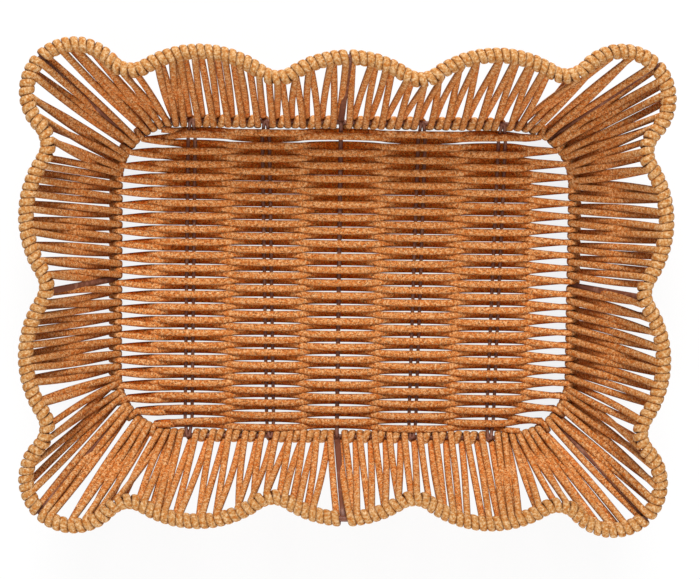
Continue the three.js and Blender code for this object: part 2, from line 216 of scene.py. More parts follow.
@dataclass(frozen=True)
class RimShape:
    """The rim in plan: round lobes joined by small hollow arcs, to the middle of its wire."""

    side_radius: float = 57.3
    corner_radius: float = 26.6
    dip_radius: float = 15.0
    short_side_peak: float = 179.5
    long_side_peak: float = 132.1
    middle_peak: float = 130.0
    long_side_spacing: float = 83.0
    short_side_offset: float = 39.4
    corner_x: float = 152.6
    corner_y: float = 108.6

    def lobes(self) -> list[Lobe]:
        """The fourteen lobes, anticlockwise from the back lobe of the right side.

        Returns:
            The lobes.
        """
        side = self.short_side_peak - self.side_radius
        outer = self.long_side_peak - self.side_radius
        middle = self.middle_peak - self.side_radius
        spacing, offset = self.long_side_spacing, self.short_side_offset
        places = {
            "right_back": (side, offset),
            "corner_back_right": (self.corner_x, self.corner_y),
            "back_right": (spacing, outer),
            "back_middle": (0.0, middle),
            "back_left": (-spacing, outer),
            "corner_back_left": (-self.corner_x, self.corner_y),
            "left_back": (-side, offset),
            "left_front": (-side, -offset),
            "corner_front_left": (-self.corner_x, -self.corner_y),
            "front_left": (-spacing, -outer),
            "front_middle": (0.0, -middle),
            "front_right": (spacing, -outer),
            "corner_front_right": (self.corner_x, -self.corner_y),
            "right_front": (side, -offset),
        }
        radii = {True: self.corner_radius, False: self.side_radius}
        return [Lobe(name, x, y, radii[name.startswith("corner")]) for name, (x, y) in places.items()]

    def dip(self, first: Lobe, second: Lobe) -> tuple[float, float]:
        """Centre of the hollow arc that touches two neighbouring lobes from outside.

        Args:
            first: The lobe before the arc.
            second: The lobe after it.

        Returns:
            The centre in the plane.
        """
        near, far = first.radius + self.dip_radius, second.radius + self.dip_radius
        dx, dy = second.x - first.x, second.y - first.y
        apart = math.hypot(dx, dy)
        along = (near**2 - far**2 + apart**2) / (2.0 * apart)
        aside = math.sqrt(max(near**2 - along**2, 0.0))
        ux, uy = dx / apart, dy / apart
        return first.x + along * ux + aside * uy, first.y + along * uy - aside * ux

    def dips(self) -> list[tuple[float, float]]:
        """Centre of the hollow arc after each lobe."""
        return [self.dip(lobe, after) for lobe, after in neighbours(self.lobes())]

    def loop(self, height: float) -> LevelLoop:
        """The rim as a closed line.

        Args:
            height: Its height.

        Returns:
            The line.
        """
        dips = self.dips()
        points: PlaneLine = []
        for i, (lobe, after) in enumerate(neighbours(self.lobes())):
            before, dip = dips[i - 1], dips[i]
            start = math.atan2(before[1] - lobe.y, before[0] - lobe.x)
            swing = (math.atan2(dip[1] - lobe.y, dip[0] - lobe.x) - start) % TURN
            points += arc((lobe.x, lobe.y), lobe.radius, start, start + swing)
            leave = math.atan2(lobe.y - dip[1], lobe.x - dip[0])
            swing = (leave - math.atan2(after.y - dip[1], after.x - dip[0])) % TURN
            points += arc(dip, self.dip_radius, leave, leave - swing)
        return LevelLoop(points, height)


@dataclass(frozen=True)
class StakeSpot:
    """A stake across the base, and how far its ends wander from even spacing."""

    name: str
    bay: int
    back_drift: float
    front_drift: float
    doubled: bool = True


@dataclass(frozen=True)
class BaseShape:
    """The base in plan: a rounded ring, five stakes and the rows of the weave."""

    half_length: float = 138.5
    half_width: float = 95.3
    corner_radius: float = 37.0
    stake_bays: int = 6
    stakes: tuple[StakeSpot, ...] = (
        StakeSpot("stake_left_outer", -2, -0.9, -1.6),
        StakeSpot("stake_left_inner", -1, -2.7, 2.0),
        StakeSpot("centre_stake", 0, -3.5, -3.8, doubled=False),
        StakeSpot("stake_right_inner", 1, -0.7, -4.3),
        StakeSpot("stake_right_outer", 2, 1.7, -3.3),
    )
    row_count: int = 47
    row_pitch: float = 3.84
    row_lift: float = 0.4
    row_slack: float = 2.1
    sag_half_waves: float = 0.65

    @property
    def stake_spacing(self) -> float:
        """Distance between neighbouring stakes, before they wander."""
        return 2.0 * self.half_length / self.stake_bays

    @property
    def corner_x(self) -> float:
        """Distance from the middle to the corner arcs' centres, along the long way."""
        return self.half_length - self.corner_radius

    @property
    def corner_y(self) -> float:
        """Distance from the middle to the corner arcs' centres, along the short way."""
        return self.half_width - self.corner_radius

    def loop(self, height: float) -> LevelLoop:
        """The base ring as a closed line.

        Args:
            height: Its height.

        Returns:
            The line.
        """
        points: PlaneLine = [[self.half_length, 0.0]]
        for i, (sx, sy) in enumerate(QUARTERS):
            centre = (sx * self.corner_x, sy * self.corner_y)
            points += arc(centre, self.corner_radius, i * TURN / 4, (i + 1) * TURN / 4)
        return LevelLoop(points, height)

    def stake_drift(self, stake: StakeSpot, y: float) -> float:
        """How far a stake lies from its even place, at a distance towards the back."""
        share = (y / self.half_width + 1.0) / 2.0
        return stake.front_drift + (stake.back_drift - stake.front_drift) * share

    def stake_x(self, stake: StakeSpot, y: float) -> float:
        """Where a stake crosses a line across the base."""
        return stake.bay * self.stake_spacing + self.stake_drift(stake, y)

    def drift(self, x: float, y: float) -> float:
        """How far things near a place on a long side have wandered with the stakes.

        Args:
            x: The place along the long way.
            y: The place along the short way.

        Returns:
            The distance to the right.
        """
        places = [stake.bay * self.stake_spacing for stake in self.stakes]
        drifts = [self.stake_drift(stake, y) for stake in self.stakes]
        return float(np.interp(x, [-self.half_length, *places, self.half_length], [0.0, *drifts, 0.0]))

    def row_y(self, row: float) -> float:
        """Where a row lies. The rows are pressed a little towards the front.

        Args:
            row: Its number from the front.

        Returns:
            Its distance from the middle, towards the back.
        """
        last = self.row_count - 1
        from_back = 1.0 - row / last
        sag = self.row_slack * math.sin(self.sag_half_waves * math.pi * from_back) ** 2
        return (row - last / 2.0) * self.row_pitch + self.row_lift - sag


@dataclass(frozen=True)
class StrutSpot:
    """A strut's places along the ring and along the rim."""

    name: str
    foot: float
    head: float
    flat: bool


@dataclass
class FrameLayout:
    """Where struts, rows and lacing meet the base ring and the rim. Heights are to the wires' middles."""

    rim_shape: RimShape
    base: BaseShape
    rim_height: float
    ring_height: float
    turn_inset: float = 5.2
    corner_pitch: float = 4.3
    turns_per_bay: int = 5
    wide_turns: int = 10
    crowded_share: float = 1.5
    side_strut_y: float = -3.0
    strut_room: float = 2.5
    fan_feet: tuple[float, ...] = (0.0, 20.0, 45.0, 65.0, 80.0, 90.0)
    fan_headings: tuple[float, ...] = (4.0, 25.0, 45.0, 54.0, 68.0, 84.0)
    lean: float = 3.0
    evenness: float = 0.75
    even_from: float = 20.0

    def __post_init__(self) -> None:
        """Lays out both wires, the turns of the rows and the struts."""
        self.rim = self.rim_shape.loop(self.rim_height)
        self.ring = self.base.loop(self.ring_height)
        self.row_turns = sorted(self.row_turn_places(1) + self.row_turn_places(-1))
        self.struts = self.strut_spots()
        corner_feet = [self.ring.plane_point(spot.foot) for spot in self.struts if not spot.flat]
        self.strut_angles = {self.quarter(*foot): self.corner_angle(*foot) for foot in corner_feet}

    @property
    def turn_pitch(self) -> float:
        """Distance along the ring between lacing turns in the middle of the long sides."""
        return self.base.stake_spacing / self.turns_per_bay

    def facing_place(self, side: int, y: float) -> float:
        """Place on the ring that faces a pair of rows squarely.

        Args:
            side: 1 for the right side and -1 for the left.
            y: The pair's middle, towards the back.

        Returns:
            Distance along the ring.
        """
        base = self.base
        past = max(abs(y) - base.corner_y, 0.0)
        reach = math.sqrt((base.corner_radius - self.turn_inset) ** 2 - past**2)
        return self.ring.nearest(side * (base.corner_x + reach), y)

    def row_turn_places(self, side: int) -> list[float]:
        """Where the weave turns round the ring on one side.

        Args:
            side: 1 for the right side and -1 for the left.

        Returns:
            Distances along the ring.
        """
        first = 1 if side == 1 else 0
        pairs = range(first, first + self.base.row_count - 1, 2)
        row_y = self.base.row_y
        return [self.facing_place(side, (row_y(row) + row_y(row + 1)) / 2.0) for row in pairs]

    def room_near(self, x: float, y: float) -> float:
        """Middle between two neighbouring row turns, as near as can be to a point.

        Args:
            x: The point's place along the long way.
            y: The point's place along the short way.

        Returns:
            Distance along the ring.
        """
        turns, length = self.row_turns, self.ring.length
        middles = [(turn + (after - turn) % length / 2.0) % length for turn, after in neighbours(turns)]
        away = [np.linalg.norm(self.ring.plane_point(middle) - (x, y)) for middle in middles]
        return middles[int(np.argmin(away))]

    def strut_spots(self) -> list[StrutSpot]:
        """The eight struts, anticlockwise from the right side.

        Returns:
            The struts, round ones at the corners and flat ones between them.
        """
        base, rim_shape = self.base, self.rim_shape
        diagonal = math.sqrt(0.5)
        foot_x = base.half_length - base.corner_radius * (1.0 - diagonal)
        foot_y = base.half_width - base.corner_radius * (1.0 - diagonal)
        head_x = rim_shape.corner_x + rim_shape.corner_radius * diagonal
        head_y = rim_shape.corner_y + rim_shape.corner_radius * diagonal
        dip_x = rim_shape.dips()[-1][0] - rim_shape.dip_radius
        spots = []
        for name, sx, sy in (
            ("strut_right", 1, 0),
            ("strut_back_right", 1, 1),
            ("strut_back", 0, 1),
            ("strut_back_left", -1, 1),
            ("strut_left", -1, 0),
            ("strut_front_left", -1, -1),
            ("strut_front", 0, -1),
            ("strut_front_right", 1, -1),
        ):
            if sx and sy:
                foot, head = self.room_near(sx * foot_x, sy * foot_y), (sx * head_x, sy * head_y)
            elif sx:
                room = self.room_near(sx * base.half_length, self.side_strut_y)
                foot, head = room + base.row_pitch - self.strut_room, (sx * dip_x, self.side_strut_y)
            else:
                y = sy * base.half_width
                foot, head = self.ring.nearest(base.drift(0.0, y), y), (0.0, sy * rim_shape.middle_peak)
            spots.append(StrutSpot(name, foot, self.rim.nearest(*head), sx == 0 or sy == 0))
        return spots

    def long_side_turns(self) -> list[float]:
        """Where the lacing goes round the ring's long sides, at half the distance near the corners.

        Returns:
            Distances along the ring.
        """
        half = self.turn_pitch / 2.0
        places = []
        for k in range(1, math.ceil(self.base.corner_x / half)):
            wanted = k % 2 == 1 or k > 2 * self.wide_turns
            at_stake = k % (2 * self.turns_per_bay) == 0
            if wanted and not at_stake:
                for sx, sy in QUARTERS:
                    x, y = sx * k * half, sy * self.base.half_width
                    places.append(self.ring.nearest(x + self.base.drift(x, y), y))
        return places

    def lacing_places(self) -> list[float]:
        """Where lacing turns go round the ring, between the turns of the rows.

        Returns:
            Distances along the ring, in order.
        """
        length = self.ring.length
        taken = [(place, True) for place in self.long_side_turns()]
        taken += [(place, False) for place in self.row_turns]
        places: list[float] = []
        for (place, lacing), (after, lacing_after) in neighbours(sorted(taken)):
            gap = (after - place) % length
            crowded = lacing and lacing_after and gap < self.crowded_share * self.turn_pitch
            steps = max(int(gap / self.corner_pitch), 1)
            parts = 1 if crowded else steps if lacing or lacing_after else steps + 1
            here = [place + gap * k / parts for k in range(0 if lacing else 1, parts)]
            for strut in self.struts:
                ahead = (strut.foot - place) % length
                if ahead < gap and not crowded:
                    here = [s - max(0.0, self.strut_room - abs(s - place - ahead)) for s in here]
            places += [s % length for s in here]
        return sorted(places)

    def heading(self, x: float, y: float) -> np.ndarray:
        """The way that the lacing runs from a point of the ring to the rim, in plan.

        It is square to the ring on the straight sides, and at the corners most of it runs diagonally.

        Args:
            x: The point's place along the long way.
            y: The point's place along the short way.

        Returns:
            The direction.
        """
        strut = self.strut_angles[self.quarter(x, y)]
        evened = float(np.interp(self.corner_angle(x, y), (0.0, strut, 90.0), (0.0, 45.0, 90.0)))
        angle = math.radians(float(np.interp(evened, self.fan_feet, self.fan_headings)))
        return np.array((math.copysign(math.cos(angle), x), math.copysign(math.sin(angle), y)))

    def quarter(self, x: float, y: float) -> tuple[bool, bool]:
        """Whether a point lies towards the right, and whether it lies towards the back."""
        return bool(x > 0.0), bool(y > 0.0)

    def parting_struts(self) -> list[StrutSpot]:
        """The struts that part the lacing into stretches, which those of the short sides don't."""
        return [spot for spot in self.struts if spot.name not in ("strut_right", "strut_left")]

    def corner_angle(self, x: float, y: float) -> float:
        """How far round its corner a point of the ring is, in degrees from the long way's end."""
        aside, ahead = max(abs(x) - self.base.corner_x, 0.0), max(abs(y) - self.base.corner_y, 0.0)
        return math.degrees(math.atan2(ahead, aside))

    def evenness_at(self, place: float) -> float:
        """How far wraps are shared out by count at a place on the ring, rather than by direction."""
        foot = self.corner_angle(*self.ring.plane_point(place))
        return self.evenness * min(foot, 90.0 - foot, self.even_from) / self.even_from

    def across_from(self, place: float) -> float:
        """Place on the rim that a place on the ring is laced to.

        Args:
            place: Distance along the ring.

        Returns:
            Distance along the rim.
        """
        foot = self.ring.plane_point(place)
        heading = self.heading(*foot)
        away = self.rim.closed - foot
        aside, ahead = away @ np.array((-heading[1], heading[0])), away @ heading
        meets = (aside[:-1] <= 0.0) & (aside[1:] > 0.0) & (ahead[:-1] > 0.0)
        first = int(np.argmax(meets))
        share = aside[first] / (aside[first] - aside[first + 1])
        reached = self.rim.starts[first] + share * (self.rim.starts[first + 1] - self.rim.starts[first])
        return float(reached) - self.lean


@dataclass(frozen=True)
class WireSizes:
    """Radii of the frame's round wires, and the section of its flat struts."""

    rim: float = 1.7
    ring: float = 1.4
    strut: float = 1.3
    centre_stake: float = 1.3
    stake_leg: float = 1.05
    flat_width: float = 3.8
    flat_thickness: float = 2.0


@dataclass(frozen=True)
class Station:
    """A cross-section of a cord or wire on its way, and how much painted shade its colour takes."""

    point: np.ndarray
    side: np.ndarray
    width: float
    thickness: float
    painted_shade: float = 0.5


def rows_at_unit(rows: np.ndarray) -> np.ndarray:
    """Every row of a table at length one."""
    return rows / np.linalg.norm(rows, axis=1)[:, None]


def tube_mesh(
    name: str, stations: Sequence[Station], sides: int, closed: bool, squareness: float = 2.0
) -> bpy.types.Mesh:
    """A closed skin through a row of rounded cross-sections.

    The first map coordinate runs along the tube and the second around it, both in millimetres.

    Args:
        name: The mesh's name.
        stations: The cross-sections in order.
        sides: Points round each section.
        closed: Whether the last section joins the first.
        squareness: 2 gives an ellipse, and more gives a fuller section.

    Returns:
        The mesh, in metres.
    """
    centres = np.array([s.point for s in stations])
    if closed:
        along = rows_at_unit(np.roll(centres, -1, axis=0) - np.roll(centres, 1, axis=0))
    else:
        along = rows_at_unit(np.gradient(centres, axis=0))
    side = np.array([s.side for s in stations])
    side = rows_at_unit(side - np.sum(side * along, axis=1)[:, None] * along)
    angles = TURN * (np.arange(sides) + 0.5) / sides
    waves = np.cos(angles), np.sin(angles)
    lateral, vertical = (np.sign(wave) * np.abs(wave) ** (2.0 / squareness) for wave in waves)
    half_width = np.array([s.width for s in stations])[:, None, None] / 2.0
    half_thick = np.array([s.thickness for s in stations])[:, None, None] / 2.0
    rings = centres[:, None, :] + half_width * lateral[None, :, None] * side[:, None, :]
    rings = rings + half_thick * vertical[None, :, None] * np.cross(along, side)[:, None, :]
    total = len(stations) * sides
    spans = len(stations) - (0 if closed else 1)
    here = np.arange(spans * sides)
    turn = here - here % sides + (here + 1) % sides
    faces = np.stack([here, turn, (turn + sides) % total, (here + sides) % total], axis=1).tolist()
    if not closed:
        faces += [list(range(sides))[::-1], list(range(total - sides, total))]
    mesh = bpy.data.meshes.new(name)
    mesh.from_pydata((rings.reshape(-1, 3) * MM).tolist(), [], faces)
    map_coordinates(mesh, centres, sides, spans)
    # Painted shade for each section, and a mask of the cord's flanks that darkens them as painted crease
    # shade.
    painted_shade = np.repeat([s.painted_shade for s in stations], sides)
    flank_shade = np.tile(np.abs(lateral) ** FLANK_SHADE_POWER, len(stations))
    for label, values in (("painted_shade", painted_shade), ("flank_shade", flank_shade)):
        mesh.attributes.new(label, "FLOAT", "POINT").data.foreach_set("value", values)
    mesh.shade_smooth()
    mesh.validate()
    return mesh


def map_coordinates(mesh: bpy.types.Mesh, centres: np.ndarray, sides: int, spans: int) -> None:
    """Writes the distance along and around a tube to its map, in millimetres.

    Args:
        mesh: The tube.
        centres: The centres of its sections.
        sides: Points round each section.
        spans: Stretches between sections that have faces.
    """
    steps = np.linalg.norm(np.roll(centres, -1, axis=0) - centres, axis=1)
    run = np.concatenate([[0.0], np.cumsum(steps)])
    row, column = np.divmod(np.arange(spans * sides), sides)
    lengthwise = np.stack([run[row], run[row], run[row + 1], run[row + 1]], axis=1)
    around = np.stack([column, column + 1, column + 1, column], axis=1) * CORD_GIRTH / sides
    values = np.zeros((len(mesh.loops), 2))
    values[: 4 * len(row)] = np.stack([lengthwise.ravel(), around.ravel()], axis=1)
    mesh.uv_layers.new(name="along_cord").data.foreach_set("uv", values.ravel())


def place_object(name: str, data: bpy.types.ID) -> bpy.types.Object:
    """Adds an object to the scene.

    Args:
        name: Its name.
        data: Its mesh, lamp or camera.

    Returns:
        The object.
    """
    thing = bpy.data.objects.new(name, data)
    bpy.context.scene.collection.objects.link(thing)
    return thing


def add_piece(mesh: bpy.types.Mesh, material: bpy.types.Material, slot: str, *nodes: str) -> None:
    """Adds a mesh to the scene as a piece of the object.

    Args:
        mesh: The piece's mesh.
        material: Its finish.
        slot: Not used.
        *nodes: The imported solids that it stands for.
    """
    piece = place_object(mesh.name, mesh)
    mesh.materials.append(material)
    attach(piece, "root")
    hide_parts(*nodes)
    LOG.info("%s stands for %s", piece.name, ", ".join(nodes))


class NodeSketch:
    """A small helper that places shader nodes and joins them."""

    def __init__(self, tree: bpy.types.NodeTree) -> None:
        """Starts on a node tree."""
        self.tree = tree

    def feed(self, target: Socket, source: object) -> None:
        """Joins an output to an input, or sets the input to a plain value.

        Args:
            target: The input.
            source: The output or the value.
        """
        if isinstance(source, Socket):
            self.tree.links.new(source, target)
        else:
            target.default_value = source

    def add(self, kind: str, **values: object) -> bpy.types.Node:
        """Adds a node and sets or joins its properties and inputs.

        Args:
            kind: What follows "ShaderNode" in Blender's name for the node type.
            **values: Properties by name, or inputs by name with underscores for spaces.

        Returns:
            The node.
        """
        node = self.tree.nodes.new("ShaderNode" + kind)
        for key, value in values.items():
            if hasattr(node, key):
                setattr(node, key, value)
            else:
                self.feed(node.inputs[key.replace("_", " ")], value)
        return node

    def math(self, operation: str, *terms: object, clamp: bool = False) -> Socket:
        """Works something out from outputs or values.

        Args:
            operation: Blender's name for the operation.
            *terms: What it works on.
            clamp: Whether the result is cut to the range from 0 to 1.

        Returns:
            The result's output.
        """
        node = self.add("Math", operation=operation, use_clamp=clamp)
        for target, term in zip(node.inputs, terms):
            self.feed(target, term)
        return node.outputs["Value"]

    def spread(self, value: Socket, **limits: float) -> Socket:
        """Stretches a value from From_Min and From_Max to To_Min and To_Max, each 0 or 1 unless given."""
        return self.add("MapRange", Value=value, **limits).outputs["Result"]

    def mix(self, share: Socket, low: object, high: object) -> Socket:
        """The colour between two, at the share of the second."""
        return self.add("Mix", data_type="RGBA", Factor=share, A=low, B=high).outputs["Result"]

    def noise(self, place: Socket, scale: Socket, detail: float, roughness: float) -> Socket:
        """Noise from 0 to 1 over the surface."""
        values = {"Vector": place, "Scale": scale, "Detail": detail, "Roughness": roughness}
        return self.add("TexNoise", **values).outputs["Fac"]

    def ramp(self, mask: Socket, stops: Sequence[tuple[float, Triple]]) -> Socket:
        """Colours a mask.

        Args:
            mask: The mask's output.
            stops: Positions and colours in order.

        Returns:
            The colour's output.
        """
        node = self.add("ValToRGB", Fac=mask)
        elements = node.color_ramp.elements
        while len(elements) < len(stops):
            elements.new(0.5)
        for element, (position, colour) in zip(elements, stops):
            element.position = position
            element.color = (*colour, 1.0)
        return node.outputs["Color"]


class Mask(Enum):
    """What the shared mottle puts out: two masks from 0 to 1 and a height."""

    BLOTCH = "Blotch"
    FLECK = "Fleck"
    RELIEF = "Relief"


@dataclass(frozen=True)
class Mottle:
    """Blotches, flecks and fine streaks, as masks for any dyed or painted surface.

    Each noise is given by its detail and its roughness, and the limits are where a mask starts and
    where it is full.
    """

    blotch_scale: float = 640.0
    fleck_scale: float = 1250.0
    streak_scale: float = 1.0
    streak_stretch: Triple = (0.16, 1.7, 1.0)
    blotch_noise: tuple[float, float] = (3.0, 0.62)
    fleck_noise: tuple[float, float] = (2.0, 0.7)
    streak_noise: tuple[float, float] = (3.0, 0.55)
    blotch_limits: tuple[float, float] = (0.36, 0.64)
    fleck_limits: tuple[float, float] = (0.52, 0.62)

    def group(self) -> bpy.types.NodeTree:
        """Builds the node group that the finishes share.

        Returns:
            The group.
        """
        group = bpy.data.node_groups.new("mottle", "ShaderNodeTree")
        sockets = group.interface.new_socket
        for label, value in (
            ("Blotch Scale", self.blotch_scale),
            ("Fleck Scale", self.fleck_scale),
            ("Streak Scale", self.streak_scale),
        ):
            sockets(name=label, in_out="INPUT", socket_type="NodeSocketFloat").default_value = value
        for mask in Mask:
            sockets(name=mask.value, in_out="OUTPUT", socket_type="NodeSocketFloat")
        sketch = NodeSketch(group)
        scales = group.nodes.new("NodeGroupInput").outputs
        results = group.nodes.new("NodeGroupOutput").inputs
        places = sketch.add("TexCoord").outputs
        stretched = sketch.add("Mapping", Vector=places["UV"], Scale=self.streak_stretch).outputs["Vector"]
        blotch = sketch.noise(places["Object"], scales["Blotch Scale"], *self.blotch_noise)
        fleck = sketch.noise(places["Object"], scales["Fleck Scale"], *self.fleck_noise)
        streak = sketch.noise(stretched, scales["Streak Scale"], *self.streak_noise)
        low, high = self.blotch_limits
        sketch.feed(results[Mask.BLOTCH.value], sketch.spread(blotch, From_Min=low, From_Max=high))
        low, high = self.fleck_limits
        sketch.feed(results[Mask.FLECK.value], sketch.spread(fleck, From_Min=low, From_Max=high))
        sketch.feed(results[Mask.RELIEF.value], sketch.math("ADD", streak, fleck))
        return group


@dataclass(frozen=True, kw_only=True)
class Finish:
    """A surface whose gloss and relief follow the shared blotches and flecks."""

    name: str
    gloss_level: float
    gloss_mask: Mask
    roughness: float
    roughness_spread: float
    relief: float
    relief_depth: float
    blotch_scale: float = 640.0

    def colour(self, sketch: NodeSketch, marks: bpy.types.NodeOutputs) -> Socket:
        """Mixes the surface's colour, in each finish's own way.

        Args:
            sketch: The material's nodes.
            marks: The outputs of the shared group.

        Returns:
            The colour's output.
        """
        raise NotImplementedError

    def material(self, mottle: bpy.types.NodeTree) -> bpy.types.Material:
        """Builds the finish.

        Args:
            mottle: The shared group of blotches and flecks.

        Returns:
            The material.
        """
        material = bpy.data.materials.new(self.name)
        material.use_nodes = True
        sketch = NodeSketch(material.node_tree)
        marks = sketch.add("Group", node_tree=mottle, Blotch_Scale=self.blotch_scale).outputs
        roughest = self.roughness + self.roughness_spread
        rough = sketch.spread(marks[self.gloss_mask.value], To_Min=self.roughness, To_Max=roughest)
        height = marks[Mask.RELIEF.value]
        bump = sketch.add("Bump", Strength=self.relief, Distance=self.relief_depth, Height=height)
        surface = material.node_tree.nodes["Principled BSDF"].inputs
        sketch.feed(surface["Specular IOR Level"], self.gloss_level)
        sketch.feed(surface["Base Color"], self.colour(sketch, marks))
        sketch.feed(surface["Roughness"], rough)
        sketch.feed(surface["Normal"], bump.outputs["Normal"])
        return material


@dataclass(frozen=True, kw_only=True)
class CordFinish(Finish):
    """Mottled imitation rattan: tones from dark to light, in a lit copy and a deeper, redder shaded copy
    mixed by the painted shade.
    """

    name: str = "mottled_rattan"
    gloss_level: float = 0.07
    gloss_mask: Mask = Mask.BLOTCH
    roughness: float = 0.55
    roughness_spread: float = 0.18
    relief: float = 0.35
    relief_depth: float = 0.00025
    tone_stops: Triple = (0.0, 0.5, 1.0)
    # Lit tones for open parts such as the rim, and darker, redder shaded tones as painted shade for under
    # rows and hidden sides.
    lit_tones: tuple[Triple, ...] = ((0.40, 0.125, 0.018), (0.47, 0.235, 0.076), (0.66, 0.43, 0.23))
    shaded_tones: tuple[Triple, ...] = ((0.72, 0.085, 0.002), (0.90, 0.170, 0.005), (0.95, 0.34, 0.05))
    fleck: Triple = (0.13, 0.034, 0.006)
    fleck_share: float = 0.9
    lit_fleck_share: float = 0.4
    fleck_shade_limit: float = 0.2
    flank_shade_share: float = 0.6

    def colour(self, sketch: NodeSketch, marks: bpy.types.NodeOutputs) -> Socket:
        """Mixes the cord's colour, darkest in its flecks and in the painted crease shade along its flanks.

        Args:
            sketch: The material's nodes.
            marks: The outputs of the shared group.

        Returns:
            The colour's output.
        """
        # Painted shade mixes from the lit tones to the shaded tones, and flecks show less where the cord
        # takes the lit tones.
        painted_shade = sketch.add("Attribute", attribute_name="painted_shade").outputs["Fac"]
        flank_shade = sketch.add("Attribute", attribute_name="flank_shade").outputs["Fac"]
        lit_tones = sketch.ramp(marks[Mask.BLOTCH.value], list(zip(self.tone_stops, self.lit_tones)))
        shaded_tones = sketch.ramp(marks[Mask.BLOTCH.value], list(zip(self.tone_stops, self.shaded_tones)))
        fleck_share = sketch.spread(
            painted_shade, From_Max=self.fleck_shade_limit, To_Min=self.lit_fleck_share, To_Max=self.fleck_share
        )
        # Painted crease shade: the cord's flanks darken towards the fleck colour.
        flank_shading = sketch.math("MULTIPLY", flank_shade, self.flank_shade_share)
        dark = sketch.math("MULTIPLY_ADD", marks[Mask.FLECK.value], fleck_share, flank_shading, clamp=True)
        return sketch.mix(dark, sketch.mix(painted_shade, lit_tones, shaded_tones), (*self.fleck, 1.0))


@dataclass(frozen=True, kw_only=True)
class WireFinish(Finish):
    """Painted steel wire: brown with slightly worn and dusty places."""

    name: str = "brown_paint"
    gloss_level: float = 0.25
    gloss_mask: Mask = Mask.FLECK
    roughness: float = 0.42
    roughness_spread: float = 0.15
    relief: float = 0.12
    relief_depth: float = 0.0001
    blotch_scale: float = 160.0
    paint: Triple = (0.15, 0.05, 0.027)
    worn: Triple = (0.26, 0.115, 0.07)
    worn_from: float = 0.6

    def colour(self, sketch: NodeSketch, marks: bpy.types.NodeOutputs) -> Socket:
        """Colours the paint, which is worn where the blotches are strongest."""
        stops = [(0.0, self.paint), (self.worn_from, self.paint), (1.0, self.worn)]
        return sketch.ramp(marks[Mask.BLOTCH.value], stops)


@dataclass
class WireFrame:
    """The painted frame: rim, ring, stakes and struts."""

    layout: FrameLayout
    material: bpy.types.Material
    wires: WireSizes = WireSizes()
    tip_overhang: float = 1.2
    tip_rise: float = 6.0
    tip_bend: float = 1.0
    tip_step: float = 0.4
    leg_offset: float = 2.1
    leg_closing: float = 9.0
    strut_depth: float = 0.6
    strut_squareness: float = 2.6
    loop_step: float = 2.0
    stake_sections: int = 60
    leg_sections: int = 35
    strut_sections: int = 7

    def build(self) -> None:
        """Makes every wire and puts it in place of its plain solid."""
        for node, loop, radius in (
            ("rim_wire", self.layout.rim, self.wires.rim),
            ("base_ring", self.layout.ring, self.wires.ring),
        ):
            count = int(loop.length / self.loop_step)
            points = [loop.spot(loop.length * i / count).centre for i in range(count)]
            self.round_wire(node, points, radius, True)
        for stake in self.layout.base.stakes:
            self.stake(stake)
        for spot in self.layout.struts:
            self.strut(spot)

    def round_wire(self, node: str, points: Sequence[np.ndarray], radius: float, closed: bool) -> None:
        """Adds a round wire through points.

        Args:
            node: The solid that it stands for.
            points: The wire's middle line.
            radius: The wire's radius.
            closed: Whether it joins itself.
        """
        stations = [Station(p, UP, 2.0 * radius, 2.0 * radius) for p in points]
        mesh = tube_mesh(f"painted_{node}", stations, WIRE_SIDES, closed)
        add_piece(mesh, self.material, "frame_wire", node)

    def stake(self, stake: StakeSpot) -> None:
        """Adds one stake, whose ends rise onto the ring wire.

        Args:
            stake: The stake.
        """
        base, wires = self.layout.base, self.wires
        reach = base.half_width + self.tip_overhang
        if stake.doubled:
            radius, plan = wires.stake_leg, self.doubled_plan(reach - wires.stake_leg)
        else:
            radius = wires.centre_stake
            plan = [(0.0, y) for y in np.linspace(-reach, reach, self.stake_sections)]
        points = []
        for x, y in plan:
            lift = blend(0.0, wires.ring + radius, (abs(y) - base.half_width + self.tip_rise) / self.tip_rise)
            points.append(np.array((base.stake_x(stake, y) + x, y, self.layout.ring.height + lift)))
        self.round_wire(stake.name, points, radius, stake.doubled)

    def doubled_plan(self, reach: float) -> list[tuple[float, float]]:
        """The middle line of a long closed loop that narrows at both ends, about its own middle.

        Args:
            reach: Half its length.

        Returns:
            The points in the plane.
        """
        tip = reach - self.tip_bend
        ys = np.linspace(-tip, tip, 2 * self.leg_sections)[self.leg_sections :]
        leg = [(blend(self.tip_bend, self.leg_offset, (tip - y) / self.leg_closing), y) for y in ys]
        cap = arc((0.0, tip), self.tip_bend, 0.0, math.pi, self.tip_step)[1:-1]
        half = leg + [(x, y) for x, y in cap] + [(-x, y) for x, y in reversed(leg)]
        return half + [(-x, -y) for x, y in half]

    def strut(self, spot: StrutSpot) -> None:
        """Adds one strut from the ring to the rim.

        Args:
            spot: The strut.
        """
        wires = self.wires
        low, high = self.layout.ring.spot(spot.foot), self.layout.rim.spot(spot.head)
        rise = unit(high.centre - low.centre)
        start = low.centre + rise * wires.ring * self.strut_depth
        end = high.centre - rise * wires.rim * self.strut_depth
        width = wires.flat_width if spot.flat else 2.0 * wires.strut
        thickness = wires.flat_thickness if spot.flat else 2.0 * wires.strut
        points = [start + (end - start) * t for t in np.linspace(0.0, 1.0, self.strut_sections)]
        stations = [Station(p, low.tangent, width, thickness) for p in points]
        mesh = tube_mesh(f"painted_{spot.name}", stations, WIRE_SIDES, False, self.strut_squareness)
        add_piece(mesh, self.material, "frame_wire", spot.name)


@dataclass(frozen=True)
class LacingTurn:
    """One turn of the lacing: its wraps on the rim and the winding on the ring that follows."""

    rim_place: float
    rim_pitch: float
    wraps: int
    ring_place: float
    ring_reach: float
    beaded: bool


